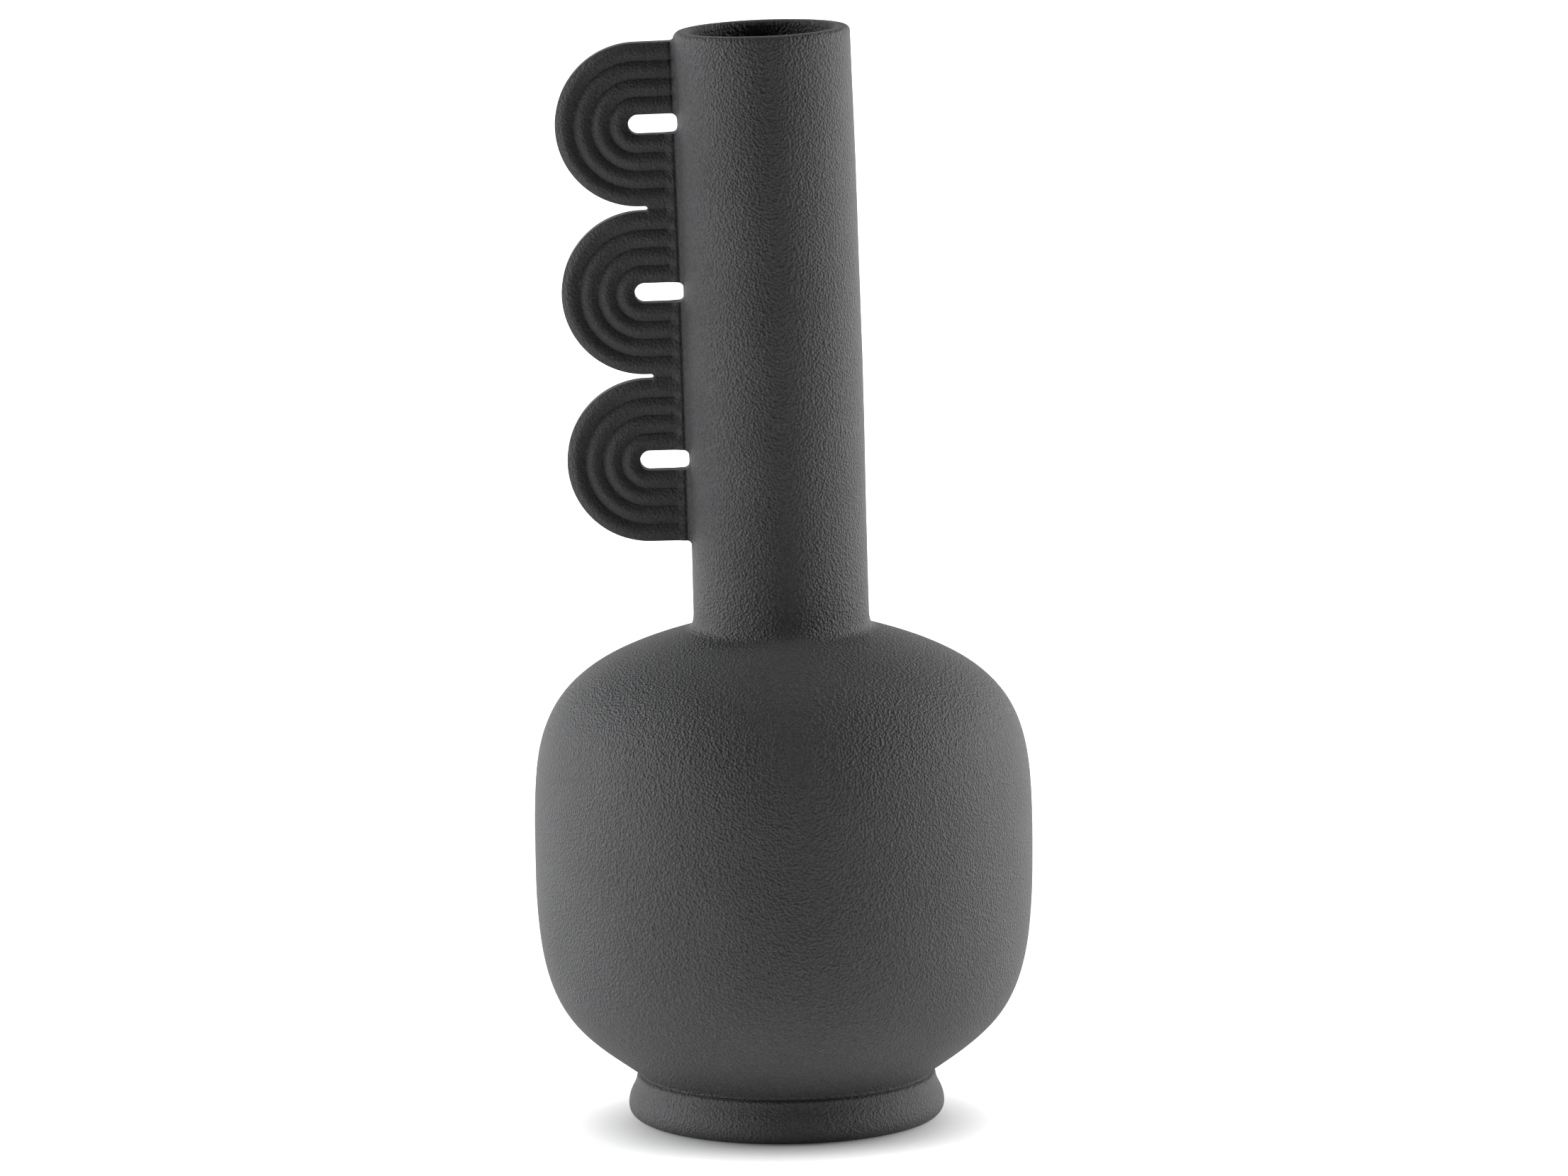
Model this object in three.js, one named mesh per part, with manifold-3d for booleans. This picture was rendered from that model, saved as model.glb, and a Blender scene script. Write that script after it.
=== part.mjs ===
// Tall stoneware bottle vase: turned foot, full belly, straight neck and three ribbed strap handles.
// Millimetres, +Z up. The foot's centre on the floor is the origin and the handles stand toward -X.
import * as THREE from 'three';
import { mergeVertices } from 'three/addons/utils/BufferGeometryUtils.js';
import Module from 'manifold-3d';

const wasm = await Module();
wasm.setup();

// ---- driving dimensions ------------------------------------------------------------------------

const wall = 6.6;                 // thickness of the thrown walls
const jointGap = 0.3;             // room left between clay rolls, and between rolls and neck

const footHeight = 17.2;          // floor to the top of the foot
const footLip = 1.6;              // height of the rounded lip at the foot's top
const footLipRadius = 58.8;       // foot just under that lip
const footBulgeRadius = 62;       // widest point of the foot
const footBulgeHeight = 5.1;      // height of that widest point
const footContactRadius = 58;     // where the foot leaves the floor
const footRingWidth = 15;         // clay left between the hollow underside and the contact edge
const footFillet = 2.4;           // clay smoothed into the corner between foot and bowl

const floorThickness = 9;         // clay under the inside of the bowl
const bowlBaseRadius = 56;        // where the curve of the bowl would meet the foot
const beltRadius = 97.5;          // widest point of the belly
const beltHeight = 104.8;         // height of that widest point
const seatHeight = 193.8;         // top of the shoulder, where the neck stands
const neckFillet = 2;             // clay smoothed into the corner between shoulder and neck

const neckRadius = 34.3;
const bareNeck = 35.88;           // neck between the shoulder seat and the lowest handle
const rimRound = 2.2;             // rounding of both edges of the rim
const neckLean = 0.0114;          // slope of the neck where it leaves the shoulder, toward the handles
const neckBow = 0.0000905;        // extra slope for each millimetre of height
const leanStart = 40;             // height over which the neck's sections turn to follow the lean
const insideBevel = 1;            // bevel at the inside edges of floor and shoulder

const slotHeight = 8.2;           // opening inside each handle
const rollPitch = 6.99;           // one clay roll to the next
const rollThickness = 10;         // handle from front to back
const handleReach = 15.45;        // neck surface to the centre of the handle's bend
const handleTopDrop = 3.56;       // rim to the top of the upper handle
const handleGap = 2.5;            // one handle to the next

// Fullness of the turned curves, as parts of each curve's own rise and run.
const footContactRun = 0.45;
const footContactRise = 0.1;
const footBulgeRise = 0.6;
const footFlareRise = 0.5;
const footLipRun = 0.15;
const footLipRise = 0.35;
const bowlBaseRun = 0.70;
const bowlBaseRise = 0.24;
const bowlBeltRise = 0.714;
const domeSeatRun = 0.99;
const domeSeatRise = 0.183;
const domeBeltRise = 0.57;

const handleLevels = ['top', 'middle', 'bottom'];

// ---- facet counts ------------------------------------------------------------------------------

const turnSides = 48;
const curveSteps = 11;
const footSteps = 4;
const lipSteps = 2;
const neckRows = 8;
const edgeSteps = 3;
const rollEndSteps = 4;
const bendSteps = [8, 10, 12, 16];

// ---- sizes that follow -------------------------------------------------------------------------

const boreRadius = neckRadius - wall;
const seatRadius = neckRadius + neckFillet;
const footBoreRadius = footContactRadius - footRingWidth;
const cornerRadius = bowlBaseRadius + footFillet / 2;
const rollWidth = rollPitch - jointGap;
const handleRadius = slotHeight / 2 + bendSteps.length * rollPitch - jointGap;
const handlePitch = handleRadius * 2 + handleGap;
const neckLength = bareNeck + handleLevels.length * handlePitch - handleGap + handleTopDrop;
const rimHeight = seatHeight + neckLength;
const bendCentreX = -(neckRadius + handleReach);
const topHandleHeight = rimHeight - handleTopDrop - handleRadius;

// ---- small tools -------------------------------------------------------------------------------

const vec = (x, y) => new THREE.Vector2(x, y);

function toManifold(geometry) {
  const bare = new THREE.BufferGeometry();
  bare.setAttribute('position', geometry.getAttribute('position').clone());
  if (geometry.index) bare.setIndex(geometry.index.clone());
  const merged = mergeVertices(bare);
  const position = merged.getAttribute('position');
  const corners = Uint32Array.from(merged.index.array);
  const kept = [];
  for (let i = 0; i < corners.length; i += 3) {
    const [a, b, c] = corners.subarray(i, i + 3);
    if (a !== b && b !== c && c !== a) kept.push(a, b, c);
  }
  if (signedVolume(position.array, kept) < 0) kept.reverse();
  return new wasm.Manifold(new wasm.Mesh({
    numProp: 3,
    vertProperties: Float32Array.from(position.array),
    triVerts: Uint32Array.from(kept),
  }));
}

function signedVolume(points, corners) {
  const [a, b, c] = [new THREE.Vector3(), new THREE.Vector3(), new THREE.Vector3()];
  let total = 0;
  for (let i = 0; i < corners.length; i += 3) {
    a.fromArray(points, corners[i] * 3);
    b.fromArray(points, corners[i + 1] * 3);
    c.fromArray(points, corners[i + 2] * 3);
    total += a.dot(b.cross(c));
  }
  return total;
}

function toGeometry(manifold) {
  const mesh = manifold.getMesh();
  const geometry = new THREE.BufferGeometry();
  geometry.setAttribute('position', new THREE.Float32BufferAttribute(mesh.vertProperties, 3));
  geometry.setIndex(Array.from(mesh.triVerts));
  geometry.computeVertexNormals();
  return geometry;
}

// A profile of (radius, height) points that closes on itself, or runs axis to axis, turned about Z.
function turned(profile) {
  const geometry = new THREE.LatheGeometry(profile, turnSides);
  geometry.rotateX(Math.PI / 2);
  return toManifold(geometry);
}

// Points and outward normals along a curve in the radius-height plane; it stands upright at the belt.
function sampled(curve, steps) {
  const rows = [];
  for (let i = 0; i <= steps; i++) {
    const point = curve.getPoint(i / steps);
    const tangent = curve.getTangent(i / steps);
    const normal = point.y === beltHeight ? vec(1, 0) : vec(tangent.y, -tangent.x);
    rows.push({ point, normal });
  }
  return rows;
}

const outside = (rows) => rows.map((row) => row.point);
const inside = (rows) => rows.map((row) => row.point.clone().addScaledVector(row.normal, -wall));

// A quarter round from one angle to the next about a centre.
function rounded(centre, radius, startAngle, endAngle) {
  const points = [];
  for (let i = 0; i <= edgeSteps; i++) {
    const angle = startAngle + (endAngle - startAngle) * i / edgeSteps;
    points.push(vec(centre.x + radius * Math.cos(angle), centre.y + radius * Math.sin(angle)));
  }
  return points;
}

// ---- foot --------------------------------------------------------------------------------------

function footRing() {
  const underRun = footBulgeRadius - footContactRadius;
  const under = new THREE.CubicBezierCurve(
    vec(footContactRadius, 0),
    vec(footContactRadius + underRun * footContactRun, footBulgeHeight * footContactRise),
    vec(footBulgeRadius, footBulgeHeight * (1 - footBulgeRise)),
    vec(footBulgeRadius, footBulgeHeight));
  const lipHeight = footHeight - footLip;
  const flareRise = lipHeight - footBulgeHeight;
  const flareRun = footBulgeRadius - footLipRadius;
  const flare = new THREE.CubicBezierCurve(
    vec(footBulgeRadius, footBulgeHeight),
    vec(footBulgeRadius, footBulgeHeight + flareRise * footFlareRise),
    vec(footLipRadius + flareRun * footLipRun, lipHeight - flareRise * footLipRise),
    vec(footLipRadius, lipHeight));
  const lip = new THREE.QuadraticBezierCurve(
    vec(footLipRadius, lipHeight),
    vec(footLipRadius, footHeight),
    vec(cornerRadius, footHeight));
  return turned([
    vec(footBoreRadius, 0),
    ...under.getPoints(footSteps),
    ...flare.getPoints(footSteps).slice(1),
    ...lip.getPoints(lipSteps).slice(1),
    vec(footBoreRadius, footHeight),
    vec(footBoreRadius, 0),
  ]);
}

// ---- body: two thrown bowls meeting at the belt ------------------------------------------------

function lowerBowl() {
  const rise = beltHeight - footHeight;
  const run = beltRadius - bowlBaseRadius;
  const curve = new THREE.CubicBezierCurve(
    vec(bowlBaseRadius, footHeight),
    vec(bowlBaseRadius + run * bowlBaseRun, footHeight + rise * bowlBaseRise),
    vec(beltRadius, beltHeight - rise * bowlBeltRise),
    vec(beltRadius, beltHeight));
  const rows = sampled(curve, curveSteps);
  const floorHeight = footHeight + floorThickness;
  const hollow = inside(rows).reverse().filter((point) => point.y > floorHeight + insideBevel);
  return turned([
    vec(0, footHeight),
    vec(cornerRadius, footHeight),
    curve.getPointAt(footFillet / curve.getLength()),
    ...outside(rows).slice(1),
    ...hollow,
    vec(hollow[hollow.length - 1].x - wall, floorHeight),
    vec(0, floorHeight),
  ]);
}

function upperDome() {
  const rise = seatHeight - beltHeight;
  const run = beltRadius - seatRadius;
  const curve = new THREE.CubicBezierCurve(
    vec(beltRadius, beltHeight),
    vec(beltRadius, beltHeight + rise * domeBeltRise),
    vec(seatRadius + run * domeSeatRun, seatHeight - rise * domeSeatRise),
    vec(seatRadius, seatHeight));
  const rows = sampled(curve, curveSteps);
  const hollow = inside(rows).reverse().filter((point) => point.x > boreRadius + wall);
  return turned([
    ...outside(rows),
    vec(boreRadius, seatHeight),
    vec(boreRadius, seatHeight - wall + insideBevel),
    vec(boreRadius + insideBevel, seatHeight - wall),
    ...hollow,
    vec(beltRadius, beltHeight),
  ]);
}

// ---- neck --------------------------------------------------------------------------------------

function neckTube() {
  const filletCentre = vec(seatRadius, seatHeight + neckFillet);
  const fillet = rounded(filletCentre, neckFillet, -Math.PI / 2, -Math.PI);
  const outerEdge = rounded(vec(neckRadius - rimRound, rimHeight - rimRound), rimRound, 0, Math.PI / 2);
  const innerEdge = rounded(
    vec(boreRadius + rimRound, rimHeight - rimRound), rimRound, Math.PI / 2, Math.PI);
  const low = seatHeight + neckFillet;
  const high = rimHeight - rimRound;
  const rows = [];
  for (let i = 1; i < neckRows; i++) rows.push(low + (high - low) * i / neckRows);
  return turned([
    vec(boreRadius, seatHeight),
    ...fillet,
    ...rows.map((height) => vec(neckRadius, height)),
    ...outerEdge,
    ...innerEdge,
    ...rows.reverse().map((height) => vec(boreRadius, height)),
    vec(boreRadius, seatHeight),
  ]);
}

// The neck and everything luted to it leans toward the handles, a little more with height.
function leaned(manifold) {
  return manifold.warp((point) => {
    const height = Math.max(0, point[2] - seatHeight);
    const turn = (neckLean + neckBow * height) * Math.min(1, height / leanStart);
    point[2] += point[0] * Math.sin(turn);
    point[0] = point[0] * Math.cos(turn) - neckLean * height - neckBow * height * height / 2;
  });
}

// ---- handles: nested rolls of clay bent into a U -----------------------------------------------

// Centre line of one roll: out from the neck, round the bend and back, one step for each leg.
class RollPath extends THREE.Curve {
  constructor(radius, steps) {
    super();
    this.radius = radius;
    this.steps = steps;
  }

  angleAt(t) {
    return THREE.MathUtils.clamp((t * (this.steps + 2) - 1) / this.steps, 0, 1) * Math.PI;
  }

  getPoint(t, target = new THREE.Vector3()) {
    const step = t * (this.steps + 2);
    const fromLeg = Math.max(0, 1 - step) + Math.max(0, step - this.steps - 1);
    const angle = this.angleAt(t);
    return target.set(
      bendCentreX - this.radius * Math.sin(angle) - fromLeg * (bendCentreX + boreRadius),
      0,
      this.radius * Math.cos(angle));
  }

  getPointAt(u, target) {
    return this.getPoint(u, target);
  }

  getTangentAt(u, target = new THREE.Vector3()) {
    const angle = this.angleAt(u);
    return target.set(-Math.cos(angle), 0, -Math.sin(angle));
  }
}

// Cross-section of a roll: flat sides toward its neighbours and round front and back.
function rollSection() {
  const half = rollWidth / 2;
  const shape = new THREE.Shape();
  const flat = rollThickness / 2 - half;
  for (let end = 0; end < 2; end++) {
    for (let i = 0; i <= rollEndSteps; i++) {
      const angle = Math.PI * (end + i / rollEndSteps);
      const y = half * Math.sin(angle) + (end ? -flat : flat);
      if (end + i === 0) shape.moveTo(half * Math.cos(angle), y);
      else shape.lineTo(half * Math.cos(angle), y);
    }
  }
  shape.closePath();
  return shape;
}

function roll(index, height, neckSpace) {
  const radius = (slotHeight + rollWidth) / 2 + rollPitch * index;
  const steps = bendSteps[index];
  const bar = new THREE.ExtrudeGeometry(rollSection(), {
    steps: steps + 2,
    curveSegments: 1,
    bevelEnabled: false,
    extrudePath: new RollPath(radius, steps),
  });
  bar.translate(0, 0, height);
  return toManifold(bar).subtract(neckSpace);
}

// ---- assembly ----------------------------------------------------------------------------------

const vase = new THREE.Group();
vase.name = 'stoneware_vase';

function place(name, manifold, colour, roughness) {
  const material = new THREE.MeshStandardMaterial({ color: colour, roughness, metalness: 0 });
  material.name = name;
  const mesh = new THREE.Mesh(toGeometry(manifold), material);
  mesh.name = name;
  vase.add(mesh);
}

place('foot_ring', footRing(), 0x4a4a4c, 0.9);
place('body_lower_bowl', lowerBowl(), 0x4d4d50, 0.88);
place('body_upper_dome', upperDome(), 0x4b4b4e, 0.86);
place('neck_tube', leaned(neckTube()), 0x48484b, 0.86);

const neckSpaceGeometry = new THREE.CylinderGeometry(
  neckRadius + jointGap, neckRadius + jointGap, neckLength, turnSides);
neckSpaceGeometry.rotateX(Math.PI / 2);
neckSpaceGeometry.translate(0, 0, seatHeight + neckLength / 2);
const neckSpace = toManifold(neckSpaceGeometry);

for (const [order, level] of handleLevels.entries()) {
  for (let index = 0; index < bendSteps.length; index++) {
    const clay = roll(index, topHandleHeight - order * handlePitch, neckSpace);
    place(`handle_${level}_roll_${index + 1}`, leaned(clay), 0x424245, 0.9);
  }
}

export default vase;
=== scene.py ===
"""Charcoal stoneware bottle vase on a white table, lit from both sides.

All shapes are worked out in millimetres and stored in metres, in the frame's own axes.
"""
import math

import bpy
from mathutils import Matrix, Vector, noise


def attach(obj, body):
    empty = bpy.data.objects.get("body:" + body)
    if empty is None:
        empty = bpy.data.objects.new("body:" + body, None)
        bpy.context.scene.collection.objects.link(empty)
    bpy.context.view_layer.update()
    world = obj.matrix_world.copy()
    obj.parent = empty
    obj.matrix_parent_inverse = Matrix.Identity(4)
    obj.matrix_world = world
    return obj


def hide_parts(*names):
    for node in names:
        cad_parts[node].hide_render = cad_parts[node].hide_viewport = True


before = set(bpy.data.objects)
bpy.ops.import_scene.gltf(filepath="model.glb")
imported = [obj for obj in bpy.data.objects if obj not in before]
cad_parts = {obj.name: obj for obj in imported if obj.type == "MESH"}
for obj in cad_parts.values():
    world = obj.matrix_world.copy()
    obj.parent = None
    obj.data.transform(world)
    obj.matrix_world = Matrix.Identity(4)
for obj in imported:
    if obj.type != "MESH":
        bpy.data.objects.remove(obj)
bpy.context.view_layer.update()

MM = 0.001

# ---- sizes, in millimetres ----------------------------------------------------------------------

WALL = 6.6
FOOT_HEIGHT = 17.2
FOOT_LIP = 1.6
FOOT_LIP_RADIUS = 58.8
FOOT_BULGE_RADIUS = 62.0
FOOT_BULGE_HEIGHT = 5.1
FOOT_CONTACT_RADIUS = 58.0
FOOT_RING_WIDTH = 15.0
FOOT_FILLET = 2.4
FLOOR_THICKNESS = 9.0
BOWL_BASE_RADIUS = 56.0
BELT_RADIUS = 97.5
BELT_HEIGHT = 104.8
SEAT_HEIGHT = 193.8
NECK_FILLET = 2.0
NECK_SMOOTHED = 7.0
NECK_RADIUS = 34.3
RIM_HEIGHT = 428.8
RIM_ROUND = 2.2
NECK_LEAN = 0.0114
NECK_BOW = 0.0000905
LEAN_START = 40.0
SLOT_HEIGHT = 8.2
ROLL_PITCH = 6.99
ROLL_THICKNESS = 10.0
ROLL_GAP = 0.3
HANDLE_REACH = 15.45
HANDLE_TOP_DROP = 3.56
HANDLE_GAP = 2.5
ROLLS = 4

BORE_RADIUS = NECK_RADIUS - WALL
SEAT_RADIUS = NECK_RADIUS + NECK_FILLET
HANDLE_RADIUS = SLOT_HEIGHT / 2 + ROLLS * ROLL_PITCH - ROLL_GAP
HANDLE_PITCH = HANDLE_RADIUS * 2 + HANDLE_GAP
TOP_HANDLE_HEIGHT = RIM_HEIGHT - HANDLE_TOP_DROP - HANDLE_RADIUS

# Fullness of the turned curves, as parts of each curve's own rise and run.
FOOT_CONTACT_RUN = 0.45
FOOT_CONTACT_RISE = 0.1
FOOT_BULGE_RISE = 0.4
FOOT_FLARE_RISE = 0.5
FOOT_LIP_RUN = 0.15
FOOT_LIP_RISE = 0.35
BOWL_BASE_RUN = 0.70
BOWL_BASE_RISE = 0.24
BOWL_BELT_RISE = 0.714
DOME_SEAT_RUN = 0.99
DOME_SEAT_RISE = 0.183
DOME_BELT_RISE = 0.57

LIP_SWELL = 0.9           # how full the rounded edge at the foot's top is
UNDERSIDE_BEVEL = 0.6     # at the inner edge of the ring the vase rests on
INSIDE_BEVEL = 1.0        # at the inside edges of floor and shoulder
AXIS_HOLE = 0.5           # radius left open at the axis, so no face shrinks to a point
SKIRT_DEPTH = 0.15        # how far the clay smoothed round the neck's foot ends inside the shoulder
PAINTED_SHADE_DEPTH = 1.2         # thickness of the wall's inner part that fades to painted shade inside the neck
PAINTED_SHADE_FADE = 1.0

TURN_SIDES = 288
NECK_SIDES = 224
SHARP_ANGLE = math.radians(50)


# ---- shared shape -------------------------------------------------------------------------------

BROAD_SPACING, BROAD_HEIGHT = 62.0, 0.26
CLOSE_SPACING, CLOSE_HEIGHT = 17.0, 0.07
CLOSE_SHIFT = Vector((7.3, 2.1, 5.7))


def unevenness(point):
    """How far the hand-worked surface stands off the ideal one, in millimetres."""
    broad = noise.noise(point / BROAD_SPACING) * BROAD_HEIGHT
    close = noise.noise(point / CLOSE_SPACING + CLOSE_SHIFT) * CLOSE_HEIGHT
    return broad + close


def leaned(point):
    """Lean and bow of the neck toward the handles, growing with height above the shoulder."""
    height = max(0.0, point.z - SEAT_HEIGHT)
    turn = (NECK_LEAN + NECK_BOW * height) * min(1.0, height / LEAN_START)
    shift = NECK_LEAN * height + NECK_BOW * height * height / 2
    return Vector((point.x * math.cos(turn) - shift, point.y, point.z + point.x * math.sin(turn)))


def smoothstep(value):
    value = min(1.0, max(0.0, value))
    return value * value * (3 - 2 * value)


def bezier(points, steps):
    rows = []
    for index in range(steps + 1):
        t = index / steps
        s = 1 - t
        weights = (s ** 3, 3 * s * s * t, 3 * s * t * t, t ** 3)
        rows.append(tuple(sum(w * p[axis] for w, p in zip(weights, points)) for axis in (0, 1)))
    return rows


def offset(rows, distance):
    """The rows moved inward from the outside of the clay."""
    moved = []
    for index, (radius, height) in enumerate(rows):
        before = rows[max(0, index - 1)]
        after = rows[min(len(rows) - 1, index + 1)]
        run, rise = after[0] - before[0], after[1] - before[1]
        length = math.hypot(run, rise)
        if height == BELT_HEIGHT:
            run, rise, length = 0.0, 1.0, 1.0
        moved.append((radius - distance * rise / length, height + distance * run / length))
    return moved


def arc(centre, radius, start, end, steps):
    rows = []
    for index in range(steps + 1):
        angle = math.radians(start + (end - start) * index / steps)
        rows.append((centre[0] + radius * math.cos(angle), centre[1] + radius * math.sin(angle)))
    return rows


def straight(start, end, steps):
    """Points after start, up to and including end."""
    return [tuple(a + (b - a) * index / steps for a, b in zip(start, end))
            for index in range(1, steps + 1)]


def finish_mesh(name, vertices, faces, material, node, depths=None):
    mesh = bpy.data.meshes.new(name)
    mesh.from_pydata([vertex * MM for vertex in vertices], [], faces)
    if depths:
        inside = mesh.attributes.new("inside", "FLOAT", "POINT")
        inside.data.foreach_set("value", depths)
    mesh.validate()
    mesh.polygons.foreach_set("use_smooth", [True] * len(mesh.polygons))
    mesh.set_sharp_from_angle(angle=SHARP_ANGLE)
    mesh.materials.append(material)
    piece = bpy.data.objects.new(name, mesh)
    bpy.context.scene.collection.objects.link(piece)
    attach(piece, "root")
    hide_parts(node)
    return piece


def turned(name, profile, sides, material, node, lean=False, inside=None):
    """A closed profile of (radius, height) points turned about Z, hand-worked a little."""
    vertices, faces, depths = [], [], []
    count = len(profile)
    for index, (radius, height) in enumerate(profile):
        before, after = profile[index - 1], profile[(index + 1) % count]
        run, rise = after[0] - before[0], after[1] - before[1]
        length = math.hypot(run, rise) or 1.0
        out, up = rise / length, -run / length
        for side in range(sides):
            angle = 2 * math.pi * side / sides
            cosine, sine = math.cos(angle), math.sin(angle)
            point = Vector((radius * cosine, radius * sine, height))
            if height in (0.0, FOOT_HEIGHT, BELT_HEIGHT, SEAT_HEIGHT):
                direction = Vector((cosine, sine, 0))
            else:
                direction = Vector((out * cosine, out * sine, up))
            point += direction * unevenness(point)
            vertices.append(leaned(point) if lean else point)
        depths += [inside(radius, height) if inside else 0.0] * sides
    for index in range(count):
        following = (index + 1) % count
        for side in range(sides):
            beside = (side + 1) % sides
            faces.append((index * sides + side, index * sides + beside,
                          following * sides + beside, following * sides + side))
    return finish_mesh(name, vertices, faces, material, node, depths)


# ---- materials ----------------------------------------------------------------------------------

# Sizes of the clay's grain: textures in cells for each metre, bumps in metres.
PATCH_SCALE = 26.0
GRIT_SCALE = 950.0
PEBBLE_SCALE = 1000.0
SWELL_SCALE = 680.0
GRIT_HEIGHT, GRIT_STRENGTH = 0.00006, 0.6
PEBBLE_HEIGHT = 0.00052
SWELL_HEIGHT = 0.00024
GRIT_SHARE = 0.7          # how much of the tone follows the grit; the rest follows the patches
TONE_DARK, TONE_LIGHT = 0.34, 0.66
GLOSS_SPREAD = 0.07
CLAY_SPECULAR = 0.32
SEED_SHIFT = (0.37, 0.11, 0.53)
# Colour of the painted shade on the inside of the neck.
PAINTED_INSIDE_SHADE = (0.016, 0.016, 0.016, 1)


def stoneware(name, dark, light, roughness, pebble, seed):
    """Matte charcoal clay: pebbly grain, fine grit and soft patches of tone, darkened to painted shade
    where a mesh's inside attribute is set.
    """
    material = bpy.data.materials.new(name)
    material.use_nodes = True
    nodes, links = material.node_tree.nodes, material.node_tree.links
    shader = nodes["Principled BSDF"]
    shader.inputs["Specular IOR Level"].default_value = CLAY_SPECULAR
    place = nodes.new("ShaderNodeTexCoord")
    mapping = nodes.new("ShaderNodeMapping")
    mapping.inputs["Location"].default_value = [seed * shift for shift in SEED_SHIFT]
    links.new(place.outputs["Object"], mapping.inputs["Vector"])

    def texture(kind, scale, **settings):
        node = nodes.new(kind)
        node.inputs["Scale"].default_value = scale
        for key, value in settings.items():
            node.inputs[key].default_value = value
        links.new(mapping.outputs["Vector"], node.inputs["Vector"])
        return node

    patches = texture("ShaderNodeTexNoise", PATCH_SCALE, Detail=3.0, Roughness=0.5)
    grit = texture("ShaderNodeTexNoise", GRIT_SCALE, Detail=1.0, Roughness=0.5)
    pebbles = texture("ShaderNodeTexVoronoi", PEBBLE_SCALE, Randomness=1.0)
    swell = texture("ShaderNodeTexNoise", SWELL_SCALE, Detail=1.0, Roughness=0.5)

    tone = nodes.new("ShaderNodeMix")
    tone.data_type = "FLOAT"
    tone.inputs["Factor"].default_value = GRIT_SHARE
    links.new(patches.outputs["Fac"], tone.inputs["A"])
    links.new(grit.outputs["Fac"], tone.inputs["B"])
    ramp = nodes.new("ShaderNodeValToRGB")
    ramp.color_ramp.elements[0].position = TONE_DARK
    ramp.color_ramp.elements[0].color = (*dark, 1)
    ramp.color_ramp.elements[1].position = TONE_LIGHT
    ramp.color_ramp.elements[1].color = (*light, 1)
    links.new(tone.outputs["Result"], ramp.inputs["Fac"])
    # Painted shade: where the inside attribute is set, the colour is mixed toward a dark grey.
    inside = nodes.new("ShaderNodeAttribute")
    inside.attribute_name = "inside"
    painted_shade = nodes.new("ShaderNodeMix")
    painted_shade.data_type = "RGBA"
    painted_shade.inputs["B"].default_value = PAINTED_INSIDE_SHADE
    links.new(inside.outputs["Fac"], painted_shade.inputs["Factor"])
    links.new(ramp.outputs["Color"], painted_shade.inputs["A"])
    links.new(painted_shade.outputs["Result"], shader.inputs["Base Color"])

    gloss = nodes.new("ShaderNodeMapRange")
    gloss.inputs["To Min"].default_value = roughness - GLOSS_SPREAD
    gloss.inputs["To Max"].default_value = roughness + GLOSS_SPREAD
    links.new(grit.outputs["Fac"], gloss.inputs["Value"])
    links.new(gloss.outputs["Result"], shader.inputs["Roughness"])

    def bump(source, strength, distance, under=None):
        node = nodes.new("ShaderNodeBump")
        node.inputs["Strength"].default_value = strength
        node.inputs["Distance"].default_value = distance
        links.new(source, node.inputs["Height"])
        if under:
            links.new(under.outputs["Normal"], node.inputs["Normal"])
        return node

    lowest = bump(swell.outputs["Fac"], 1.0, SWELL_HEIGHT * pebble)
    middle = bump(pebbles.outputs["Distance"], 1.0, PEBBLE_HEIGHT * pebble, lowest)
    finest = bump(grit.outputs["Fac"], GRIT_STRENGTH, GRIT_HEIGHT, middle)
    links.new(finest.outputs["Normal"], shader.inputs["Normal"])
    return material


body_clay = stoneware("stoneware_body", (0.040, 0.040, 0.041), (0.068, 0.068, 0.069), 0.62, 1.0, 1)
neck_clay = stoneware("stoneware_neck", (0.039, 0.039, 0.040), (0.066, 0.066, 0.067), 0.62, 1.0, 2)
foot_clay = stoneware("stoneware_foot", (0.039, 0.039, 0.040), (0.068, 0.068, 0.069), 0.66, 0.7, 3)
roll_clay = stoneware("stoneware_handle", (0.035, 0.035, 0.036), (0.058, 0.058, 0.059), 0.66, 0.45, 4)


# ---- foot ---------------------------------------------------------------------------------------

bore = FOOT_CONTACT_RADIUS - FOOT_RING_WIDTH
contact_run = FOOT_BULGE_RADIUS - FOOT_CONTACT_RADIUS
under = bezier([
    (FOOT_CONTACT_RADIUS, 0.0),
    (FOOT_CONTACT_RADIUS + contact_run * FOOT_CONTACT_RUN, FOOT_BULGE_HEIGHT * FOOT_CONTACT_RISE),
    (FOOT_BULGE_RADIUS, FOOT_BULGE_HEIGHT * FOOT_BULGE_RISE),
    (FOOT_BULGE_RADIUS, FOOT_BULGE_HEIGHT)], 12)
lip_height = FOOT_HEIGHT - FOOT_LIP
flare_rise = lip_height - FOOT_BULGE_HEIGHT
lip_run = FOOT_BULGE_RADIUS - FOOT_LIP_RADIUS
flare = bezier([
    (FOOT_BULGE_RADIUS, FOOT_BULGE_HEIGHT),
    (FOOT_BULGE_RADIUS, FOOT_BULGE_HEIGHT + flare_rise * FOOT_FLARE_RISE),
    (FOOT_LIP_RADIUS + lip_run * FOOT_LIP_RUN, lip_height - flare_rise * FOOT_LIP_RISE),
    (FOOT_LIP_RADIUS, lip_height)], 18)
corner_radius = BOWL_BASE_RADIUS + FOOT_FILLET / 2
lip = bezier([
    (FOOT_LIP_RADIUS, lip_height),
    (FOOT_LIP_RADIUS, lip_height + LIP_SWELL),
    (corner_radius + LIP_SWELL, FOOT_HEIGHT - LIP_SWELL / 2),
    (corner_radius, FOOT_HEIGHT)], 10)
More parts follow.
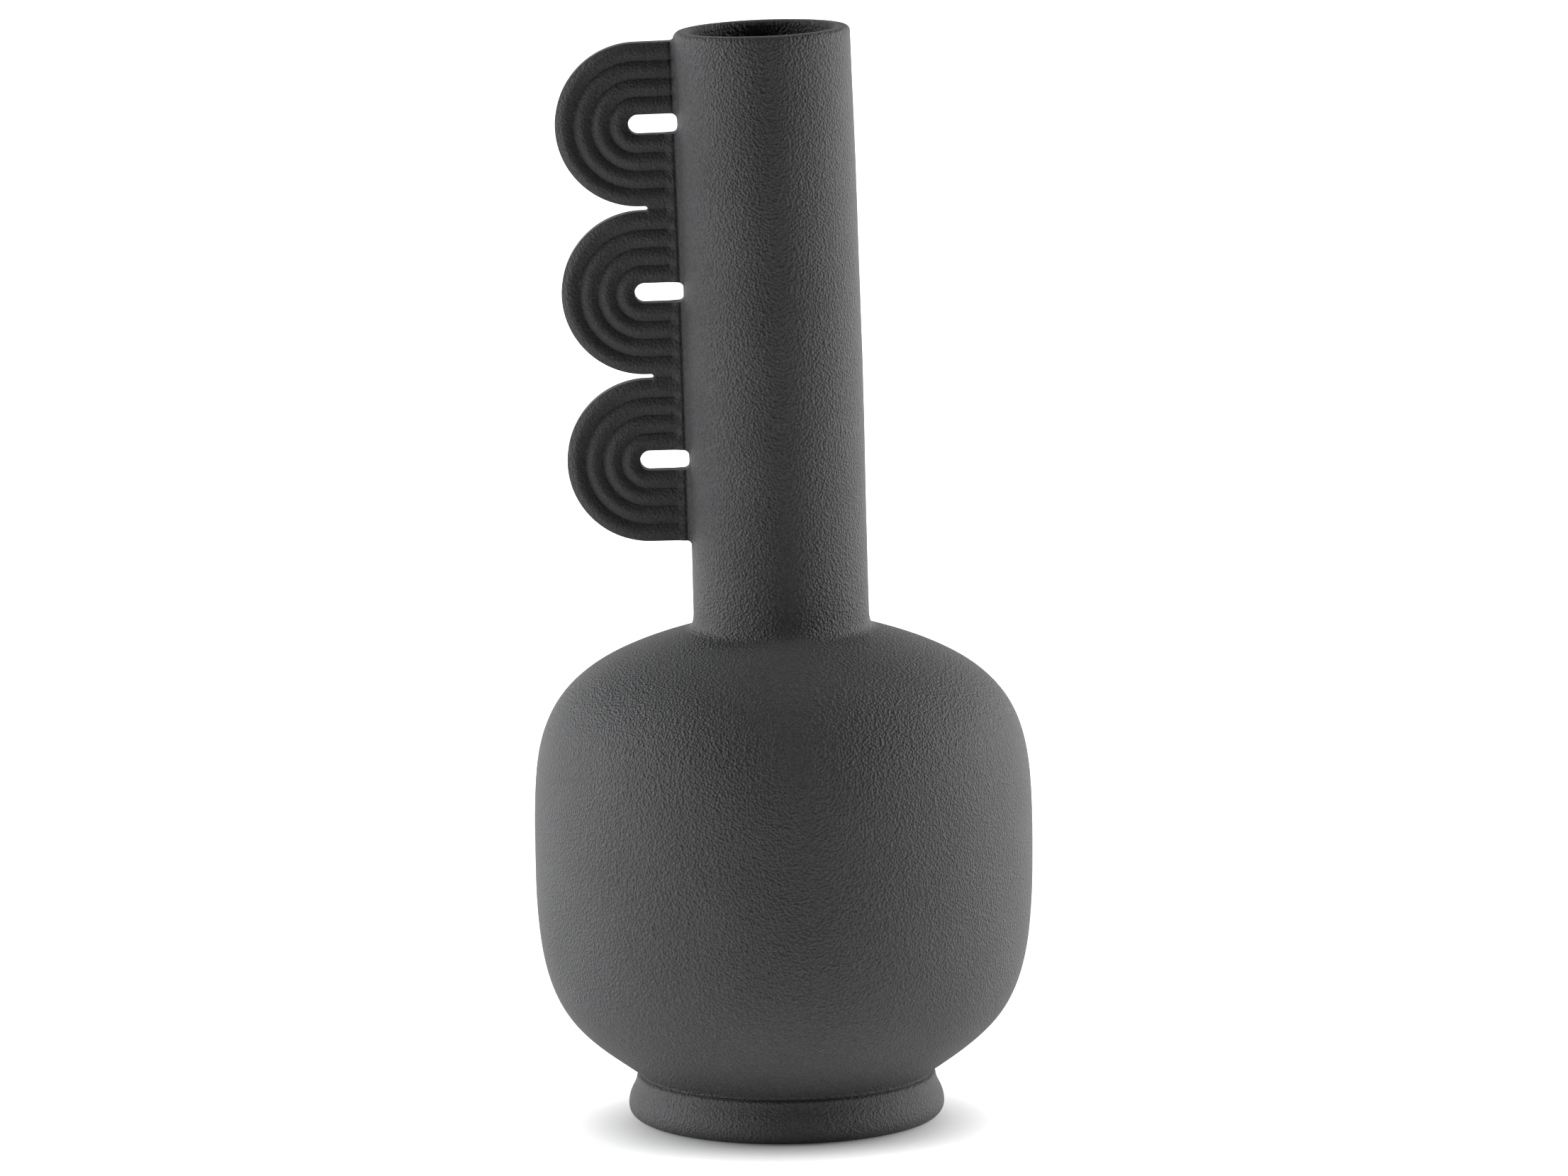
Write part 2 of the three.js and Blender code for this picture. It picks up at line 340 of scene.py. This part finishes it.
foot_profile = (
    under + flare[1:] + lip[1:]
    + straight((corner_radius, FOOT_HEIGHT), (bore, FOOT_HEIGHT), 6)
    + straight((bore, FOOT_HEIGHT), (bore, UNDERSIDE_BEVEL), 8)
    + straight((bore, UNDERSIDE_BEVEL), (bore + UNDERSIDE_BEVEL, 0.0), 2)
    + straight((bore + UNDERSIDE_BEVEL, 0.0), (FOOT_CONTACT_RADIUS, 0.0), 6)[:-1])
turned("foot_ring_clay", foot_profile, TURN_SIDES, foot_clay, "foot_ring")

# ---- belly --------------------------------------------------------------------------------------

run = BELT_RADIUS - BOWL_BASE_RADIUS
rise = BELT_HEIGHT - FOOT_HEIGHT
bowl_rows = bezier([
    (BOWL_BASE_RADIUS, FOOT_HEIGHT),
    (BOWL_BASE_RADIUS + run * BOWL_BASE_RUN, FOOT_HEIGHT + rise * BOWL_BASE_RISE),
    (BELT_RADIUS, BELT_HEIGHT - rise * BOWL_BELT_RISE),
    (BELT_RADIUS, BELT_HEIGHT)], 110)
first = next(index for index, row in enumerate(bowl_rows)
             if math.dist(row, bowl_rows[0]) > FOOT_FILLET)
smoothing = bezier([
    (corner_radius, FOOT_HEIGHT),
    (corner_radius, FOOT_HEIGHT + 0.7),
    tuple(2 * a - b for a, b in zip(bowl_rows[first], bowl_rows[first + 1])),
    bowl_rows[first]], 6)
bowl_outside = smoothing + bowl_rows[first + 1:]
floor_height = FOOT_HEIGHT + FLOOR_THICKNESS
hollow = [row for row in reversed(offset(bowl_rows, WALL)) if row[1] > floor_height + 1]
corner = (hollow[-1][0] - WALL, floor_height)
bowl_profile = (
    bowl_outside
    + straight(bowl_rows[-1], hollow[0], 5)[:-1] + hollow
    + straight(hollow[-1], corner, 3)
    + straight(corner, (AXIS_HOLE, floor_height), 10)
    + [(AXIS_HOLE, FOOT_HEIGHT)]
    + straight((AXIS_HOLE, FOOT_HEIGHT), bowl_outside[0], 10)[:-1])
turned("lower_bowl_clay", bowl_profile, TURN_SIDES, body_clay, "body_lower_bowl")

run = BELT_RADIUS - SEAT_RADIUS
rise = SEAT_HEIGHT - BELT_HEIGHT
dome_rows = bezier([
    (BELT_RADIUS, BELT_HEIGHT),
    (BELT_RADIUS, BELT_HEIGHT + rise * DOME_BELT_RISE),
    (SEAT_RADIUS + run * DOME_SEAT_RUN, SEAT_HEIGHT - rise * DOME_SEAT_RISE),
    (SEAT_RADIUS, SEAT_HEIGHT)], 120)
hollow = [row for row in reversed(offset(dome_rows, WALL)) if row[0] > BORE_RADIUS + WALL]
dome_profile = (
    dome_rows
    + straight(dome_rows[-1], (BORE_RADIUS, SEAT_HEIGHT), 5)
    + straight((BORE_RADIUS, SEAT_HEIGHT), (BORE_RADIUS, SEAT_HEIGHT - WALL + INSIDE_BEVEL), 4)
    + [(BORE_RADIUS + INSIDE_BEVEL, SEAT_HEIGHT - WALL)]
    + hollow
    + straight(hollow[-1], dome_rows[0], 5)[:-1])
turned("upper_dome_clay", dome_profile, TURN_SIDES, body_clay, "body_upper_dome")

# ---- neck ---------------------------------------------------------------------------------------

low = SEAT_HEIGHT + NECK_SMOOTHED
high = RIM_HEIGHT - RIM_ROUND
meeting = min(dome_rows, key=lambda row: abs(row[0] - NECK_RADIUS - NECK_SMOOTHED))
skirt = (meeting[0], meeting[1] - SKIRT_DEPTH)
smoothing = bezier([
    skirt,
    (NECK_RADIUS + 1.3, SEAT_HEIGHT + 0.15),
    (NECK_RADIUS, SEAT_HEIGHT + 0.8),
    (NECK_RADIUS, low)], 20)
neck_profile = (
    smoothing
    + straight(smoothing[-1], (NECK_RADIUS, high), 150)
    + arc((NECK_RADIUS - RIM_ROUND, high), RIM_ROUND, 0, 90, 9)[1:]
    + arc((BORE_RADIUS + RIM_ROUND, high), RIM_ROUND, 90, 180, 9)
    + straight((BORE_RADIUS, high), (BORE_RADIUS, SEAT_HEIGHT), 60)
    + straight((BORE_RADIUS, SEAT_HEIGHT), (BORE_RADIUS + 2, SEAT_HEIGHT), 2)
    + straight((BORE_RADIUS + 2, SEAT_HEIGHT), (SEAT_RADIUS, SEAT_HEIGHT - 1.5), 4)
    + straight((SEAT_RADIUS, SEAT_HEIGHT - 1.5), skirt, 4)[:-1])
# The neck's inner wall is painted dark as shade, fading in over its innermost part.
turned("neck_clay", neck_profile, NECK_SIDES, neck_clay, "neck_tube", lean=True,
       inside=lambda radius, height: smoothstep((BORE_RADIUS + PAINTED_SHADE_DEPTH - radius) / PAINTED_SHADE_FADE))


# ---- handles ------------------------------------------------------------------------------------

RIB_DEPTH = 1.5           # how far the rounded front of a roll falls away at its edges
LUTE_START = 6.0          # distance from the neck where the grooves begin to fill with slip
LUTE_END = 2.2
JOIN_FILLET = 1.7         # clay drawn out from the rolls onto the neck
JOIN_DEPTH = 1.2          # how far the rolls are pressed into the neck
CREASE = 0.35             # tooled line where the rolls meet that clay
SLOT_FILLET = 2.6         # rounding of the slot's corners at the neck
BRIDGE_START = 13.6       # distance from the neck where slip begins to close the gap between handles
BRIDGE_END = 12.0
BRIDGE_OVERLAP = 0.15     # how far the slip of two neighbouring handles runs together
BRIDGED = 3.0             # an outer fillet wider than this means that a neighbour is there to join
FILLED_DEPTH = 0.15       # what is left of a groove that slip has filled
CREASE_WIDTH = 0.7
EDGE_SWELL = 0.4          # fullness of the inner roll round its bend
ROLL_SEAM = 0.02          # left between neighbouring rolls
END_STEP, END_STEPS = 0.3, 55
FINE_SPACING, FINE_HEIGHT = 6.5, 0.07
ROLL_UNEVENNESS = 0.6


def fillet(distance, size):
    """Height of a concave quarter round at a distance from the wall it meets."""
    if distance >= size:
        return 0.0
    away = min(size, size - max(0.0, distance))
    return size - math.sqrt(max(0.0, size * size - away * away))


def roll_section(half_width, filled, swell, inner_swell, outer_swell):
    """Points (across, deep) round a roll: across runs away from the slot, deep toward the back."""
    steps = 18
    depth = RIB_DEPTH * (1 - filled) + FILLED_DEPTH * filled
    half = ROLL_THICKNESS / 2 + swell
    points = []
    for side in (1, -1):
        for index in range(steps + 1):
            angle = math.pi * index / steps
            across = half_width * math.cos(angle) * side
            edge = abs(math.cos(angle))
            deep = half - depth * (0.55 * edge ** 2.6 + 0.45 * smoothstep(edge))
            points.append((across, deep * side))
        for index in range(1, 4):
            deep = (half - depth) * (1 - index / 2)
            points.append((-half_width * side, deep * side))
    shaped = []
    for across, deep in points:
        spread = outer_swell if across > 0 else inner_swell
        share = min(1.0, abs(across) / half_width) ** 2
        shaped.append((across + math.copysign(spread, across) * share, deep))
    return shaped


def make_roll(level_name, height, index, fill_upper, fill_lower, outer_upper, outer_lower):
    """One U-shaped roll, from the neck round the bend and back."""
    width = ROLL_PITCH - ROLL_SEAM
    radius = (SLOT_HEIGHT + ROLL_PITCH - ROLL_GAP) / 2 + ROLL_PITCH * index
    last = index == ROLLS - 1
    distances = [-JOIN_DEPTH + END_STEP * step for step in range(END_STEPS)]
    bends = 56 + 12 * index
    stations = [(distance, 0.0, "upper") for distance in distances]
    stations += [(HANDLE_REACH, math.pi * step / bends, "bend") for step in range(bends + 1)]
    stations += [(distance, math.pi, "lower") for distance in reversed(distances)]
    vertices, faces = [], []
    for distance, angle, part in stations:
        fill = {"upper": fill_upper, "lower": fill_lower, "bend": 0.0}[part]
        filled = fill * (1 - smoothstep((distance - LUTE_END) / (LUTE_START - LUTE_END)))
        crease = CREASE * max(0.0, 1 - abs(distance - JOIN_FILLET) / CREASE_WIDTH)
        swell = fillet(distance, JOIN_FILLET) - crease
        outer = {"upper": outer_upper, "lower": outer_lower, "bend": 0.0}[part]
        outer_swell = 0.0
        if last and outer:
            outer_swell = fillet(distance, outer)
            if outer > BRIDGED:
                bridge = 1 - smoothstep((distance - BRIDGE_END) / (BRIDGE_START - BRIDGE_END))
                outer_swell = (HANDLE_GAP / 2 + BRIDGE_OVERLAP) * bridge
        inner_swell = 0.0
        if index == 0:
            inner_swell = max(fillet(distance, SLOT_FILLET), EDGE_SWELL * math.sin(angle))
        section = roll_section(width / 2, filled, swell, inner_swell, outer_swell)
        for across, deep in section:
            reach = radius + across
            curve = math.sqrt(NECK_RADIUS ** 2 - deep * deep)
            follow = max(0.0, 1 - max(0.0, distance) / HANDLE_REACH)
            x = -(curve * follow + NECK_RADIUS * (1 - follow)) - distance - reach * math.sin(angle)
            point = Vector((x, deep, height + reach * math.cos(angle)))
            fine = noise.noise(point / FINE_SPACING) * FINE_HEIGHT
            rough = unevenness(point) * ROLL_UNEVENNESS + fine
            point.y += rough if deep >= 0 else -rough
            vertices.append(leaned(point))
    around = len(section)
    for station in range(len(stations) - 1):
        for spot in range(around):
            beside = (spot + 1) % around
            a, b = station * around, (station + 1) * around
            faces.append((a + spot, b + spot, b + beside, a + beside))
    faces.append(tuple(range(around)))
    faces.append(tuple(reversed(range((len(stations) - 1) * around, len(stations) * around))))
    node = f"handle_{level_name}_roll_{index + 1}"
    finish_mesh(f"{node}_clay", vertices, faces, roll_clay, node)


LEVELS = (
    ("top", 0.15, 0.85, 2.0, 8.0),
    ("middle", 1.0, 1.0, 8.0, 8.0),
    ("bottom", 1.0, 0.8, 8.0, 2.0),
)
for order, (level_name, fill_upper, fill_lower, outer_upper, outer_lower) in enumerate(LEVELS):
    level_height = TOP_HANDLE_HEIGHT - order * HANDLE_PITCH
    for index in range(ROLLS):
        make_roll(level_name, level_height, index, fill_upper, fill_lower, outer_upper, outer_lower)


# ---- table, light and camera --------------------------------------------------------------------

# Bands of the table, in metres: distance in front of or behind the vase, and from its foot.
NEAR_BAND = (-0.42, -0.12)
FAR_BAND = (0.15, 2.2)
# Painted shadow on the table: the band of distance from the point below over which the painted shade
# fades out, and that point.
PAINTED_SHADOW_BAND = (0.040, 0.082)
PAINTED_SHADOW_CENTRE = (0, -0.014, 0)
FRONT_GLOW, MIDDLE_GLOW, FAR_GLOW = 0.15, 0.48, 1.3
# Table colour at the heart of the painted shadow, and the table's own white.
PAINTED_SHADOW_GREY, TABLE_WHITE = (0.22, 0.22, 0.22, 1), (0.93, 0.93, 0.93, 1)
TABLE_NEAR, TABLE_FAR, TABLE_SIDE = -4.5, 6.0, 6.0
SHEET_SIDE, SHEET_HEIGHT, SHEET_GLOW = 4.0, 2.4, 0.9
MATTE_ROUGHNESS, MATTE_SPECULAR = 0.9, 0.1


def table():
    """White light table: it glows more behind the vase, and a painted shadow round a fixed point at the
    vase's foot darkens its colour and its glow.
    """
    material = bpy.data.materials.new("white_table")
    material.use_nodes = True
    nodes, links = material.node_tree.nodes, material.node_tree.links
    shader = nodes["Principled BSDF"]
    shader.inputs["Roughness"].default_value = MATTE_ROUGHNESS
    shader.inputs["Specular IOR Level"].default_value = MATTE_SPECULAR
    shader.inputs["Emission Color"].default_value = (1, 1, 1, 1)
    place = nodes.new("ShaderNodeTexCoord")
    split = nodes.new("ShaderNodeSeparateXYZ")
    links.new(place.outputs["Object"], split.inputs["Vector"])
    near_glow = nodes.new("ShaderNodeMapRange")
    near_glow.interpolation_type = "SMOOTHSTEP"
    near_glow.inputs["From Min"].default_value = NEAR_BAND[0]
    near_glow.inputs["From Max"].default_value = NEAR_BAND[1]
    near_glow.inputs["To Min"].default_value = FRONT_GLOW
    near_glow.inputs["To Max"].default_value = MIDDLE_GLOW
    glow = nodes.new("ShaderNodeMapRange")
    glow.interpolation_type = "SMOOTHSTEP"
    glow.inputs["From Min"].default_value = FAR_BAND[0]
    glow.inputs["From Max"].default_value = FAR_BAND[1]
    glow.inputs["To Max"].default_value = FAR_GLOW
    for ramped in (near_glow, glow):
        links.new(split.outputs["Y"], ramped.inputs["Value"])
    links.new(near_glow.outputs["Result"], glow.inputs["To Min"])
    # Painted shadow: distance from a fixed point by the foot darkens the table's colour and glow.
    reach = nodes.new("ShaderNodeVectorMath")
    reach.operation = "DISTANCE"
    reach.inputs[1].default_value = PAINTED_SHADOW_CENTRE
    links.new(place.outputs["Object"], reach.inputs[0])
    painted_shadow = nodes.new("ShaderNodeMapRange")
    painted_shadow.inputs["From Min"].default_value = PAINTED_SHADOW_BAND[0]
    painted_shadow.inputs["From Max"].default_value = PAINTED_SHADOW_BAND[1]
    links.new(reach.outputs["Value"], painted_shadow.inputs["Value"])
    ramp = nodes.new("ShaderNodeValToRGB")
    ramp.color_ramp.elements[0].position = 0.0
    ramp.color_ramp.elements[0].color = PAINTED_SHADOW_GREY
    ramp.color_ramp.elements[1].position = 1.0
    ramp.color_ramp.elements[1].color = TABLE_WHITE
    links.new(painted_shadow.outputs["Result"], ramp.inputs["Fac"])
    links.new(ramp.outputs["Color"], shader.inputs["Base Color"])
    strength = nodes.new("ShaderNodeMath")
    strength.operation = "MULTIPLY"
    links.new(glow.outputs["Result"], strength.inputs[0])
    links.new(painted_shadow.outputs["Result"], strength.inputs[1])
    links.new(strength.outputs["Value"], shader.inputs["Emission Strength"])
    mesh = bpy.data.meshes.new("table")
    corners = [(-TABLE_SIDE, TABLE_NEAR, 0), (TABLE_SIDE, TABLE_NEAR, 0),
               (TABLE_SIDE, TABLE_FAR, 0), (-TABLE_SIDE, TABLE_FAR, 0)]
    mesh.from_pydata(corners, [], [(0, 1, 2, 3)])
    mesh.materials.append(material)
    top = bpy.data.objects.new("table", mesh)
    bpy.context.scene.collection.objects.link(top)


def backdrop():
    """White sheet standing at the table's far edge; it lights the rim from behind."""
    material = bpy.data.materials.new("white_backdrop")
    material.use_nodes = True
    shader = material.node_tree.nodes["Principled BSDF"]
    shader.inputs["Roughness"].default_value = MATTE_ROUGHNESS
    shader.inputs["Emission Color"].default_value = (1, 1, 1, 1)
    shader.inputs["Emission Strength"].default_value = SHEET_GLOW
    mesh = bpy.data.meshes.new("backdrop")
    corners = [(-SHEET_SIDE, TABLE_FAR, 0), (SHEET_SIDE, TABLE_FAR, 0),
               (SHEET_SIDE, TABLE_FAR, SHEET_HEIGHT), (-SHEET_SIDE, TABLE_FAR, SHEET_HEIGHT)]
    mesh.from_pydata(corners, [], [(0, 1, 2, 3)])
    mesh.materials.append(material)
    sheet = bpy.data.objects.new("backdrop", mesh)
    bpy.context.scene.collection.objects.link(sheet)


LIGHT_AIM = Vector((0, 0, 0.22))


def softbox(name, azimuth, elevation, distance, size, power, colour=(1, 1, 1)):
    """A soft rectangular light; azimuth 0 is +X and 90 is behind the vase."""
    data = bpy.data.lights.new(name, "AREA")
    data.shape = "RECTANGLE"
    data.size, data.size_y = size
    data.energy = power
    data.color = colour
    lamp = bpy.data.objects.new(name, data)
    across, rise = math.radians(azimuth), math.radians(elevation)
    away = Vector((math.cos(across) * math.cos(rise), math.sin(across) * math.cos(rise), math.sin(rise)))
    lamp.location = LIGHT_AIM + away * distance
    lamp.rotation_euler = (-away).to_track_quat("-Z", "Y").to_euler()
    bpy.context.scene.collection.objects.link(lamp)


COOL = (0.975, 0.98, 1.0)
SLIGHTLY_COOL = (0.985, 0.99, 1.0)

table()
backdrop()
softbox("left_box", 181, 12, 2.0, (0.9, 1.6), 37, COOL)
softbox("left_front_box", 202, 6, 2.0, (0.4, 1.6), 7, COOL)
softbox("left_high_box", 168, 45, 2.0, (0.9, 0.9), 4, COOL)
softbox("left_back_box", 146, 12, 2.0, (0.9, 1.6), 18, SLIGHTLY_COOL)
softbox("right_box", 6, 12, 2.0, (0.9, 1.6), 41)
softbox("right_high_box", 12, 45, 2.0, (0.9, 0.9), 7)
softbox("right_back_box", 40, 12, 2.0, (0.9, 1.6), 16)
softbox("top_box", -90, 85, 2.0, (1.5, 1.5), 2)
softbox("back_box", 90, 25, 2.5, (2.0, 1.5), 5)

WORLD_GLOW = 0.02
world = bpy.data.worlds.new("studio")
world.use_nodes = True
world.node_tree.nodes["Background"].inputs["Color"].default_value = (1, 1, 1, 1)
world.node_tree.nodes["Background"].inputs["Strength"].default_value = WORLD_GLOW
bpy.context.scene.world = world

scene = bpy.context.scene
scene.view_settings.view_transform = "Standard"
scene.view_settings.look = "None"

CAMERA_PLACE = Vector((0.00114, -3.926, 0.8388))
PITCH = math.radians(9.11)
ROLL = math.radians(0.63)
camera_data = bpy.data.cameras.new("camera")
camera_data.sensor_fit = "HORIZONTAL"
camera_data.sensor_width = 36.0
camera_data.lens = 233.84
camera_data.clip_end = 60.0
camera = bpy.data.objects.new("camera", camera_data)
right = Vector((1, 0, 0))
up = Vector((0, math.sin(PITCH), math.cos(PITCH)))
back = Vector((0, -math.cos(PITCH), math.sin(PITCH)))
rolled_right = right * math.cos(ROLL) - up * math.sin(ROLL)
rolled_up = right * math.sin(ROLL) + up * math.cos(ROLL)
turn = Matrix((rolled_right, rolled_up, back)).transposed().to_4x4()
camera.matrix_world = Matrix.Translation(CAMERA_PLACE) @ turn
scene.collection.objects.link(camera)
scene.camera = camera
